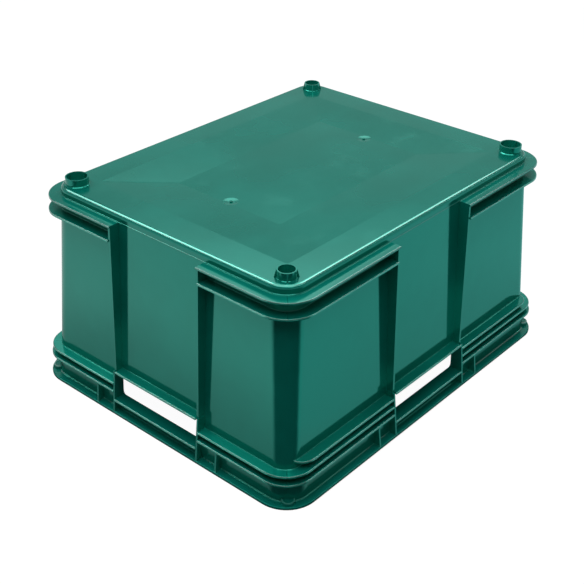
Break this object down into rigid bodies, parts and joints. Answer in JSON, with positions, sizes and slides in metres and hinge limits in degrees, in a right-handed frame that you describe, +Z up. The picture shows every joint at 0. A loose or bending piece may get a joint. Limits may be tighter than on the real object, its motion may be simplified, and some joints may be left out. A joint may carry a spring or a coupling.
{
  "type": "euro container",
  "caption": "Open plastic storage box with drafted walls, corner ledges, upright ribs, a hand slot in each side and stacking feet, standing upside down on its rim.",
  "frame": {"origin": "centre of the rim's underside, in the plane that the upside-down container rests on", "axes": "+X along the long sides, +Y along the short sides, +Z up, out of the base and its feet; the container's opening faces -Z"},
  "size_m": [0.43, 0.35, 0.221],
  "materials": {
    "green_plastic": "dark teal green injection-moulded polypropylene, smooth and glossy, mirror-like on the walls"
  },
  "bodies": {
    "root": {"back_handle_ledge": "green_plastic", "back_rib_left": "green_plastic", "back_rib_right": "green_plastic", "back_slot_sill": "green_plastic", "back_wall_panel": "green_plastic", "base_panel": "green_plastic", "corner_wall_back_left": "green_plastic", "corner_wall_back_right": "green_plastic", "corner_wall_front_left": "green_plastic", "corner_wall_front_right": "green_plastic", "flank_ledge_back_left": "green_plastic", "flank_ledge_back_right": "green_plastic", "flank_ledge_front_left": "green_plastic", "flank_ledge_front_right": "green_plastic", "foot_peg_back_right": "green_plastic", "foot_peg_front_left": "green_plastic", "foot_ring_back_left": "green_plastic", "foot_ring_front_right": "green_plastic", "front_handle_ledge": "green_plastic", "front_rib_left": "green_plastic", "front_rib_right": "green_plastic", "front_slot_sill": "green_plastic", "front_wall_panel": "green_plastic", "left_handle_ledge": "green_plastic", "left_rib_back": "green_plastic", "left_rib_front": "green_plastic", "left_slot_sill": "green_plastic", "left_wall_panel": "green_plastic", "lower_ledge_back_left": "green_plastic", "lower_ledge_back_right": "green_plastic", "lower_ledge_front_left": "green_plastic", "lower_ledge_front_right": "green_plastic", "right_handle_ledge": "green_plastic", "right_rib_back": "green_plastic", "right_rib_front": "green_plastic", "right_slot_sill": "green_plastic", "right_wall_panel": "green_plastic", "rim_band_back_left": "green_plastic", "rim_band_back_right": "green_plastic", "rim_band_front_left": "green_plastic", "rim_band_front_right": "green_plastic", "rim_flange": "green_plastic", "rim_ledge_back_left": "green_plastic", "rim_ledge_back_right": "green_plastic", "rim_ledge_front_left": "green_plastic", "rim_ledge_front_right": "green_plastic", "second_ledge_back_left": "green_plastic", "second_ledge_back_right": "green_plastic", "second_ledge_front_left": "green_plastic", "second_ledge_front_right": "green_plastic", "upper_ledge_back_left": "green_plastic", "upper_ledge_back_right": "green_plastic", "upper_ledge_front_left": "green_plastic", "upper_ledge_front_right": "green_plastic"}
  },
  "joints": []
}
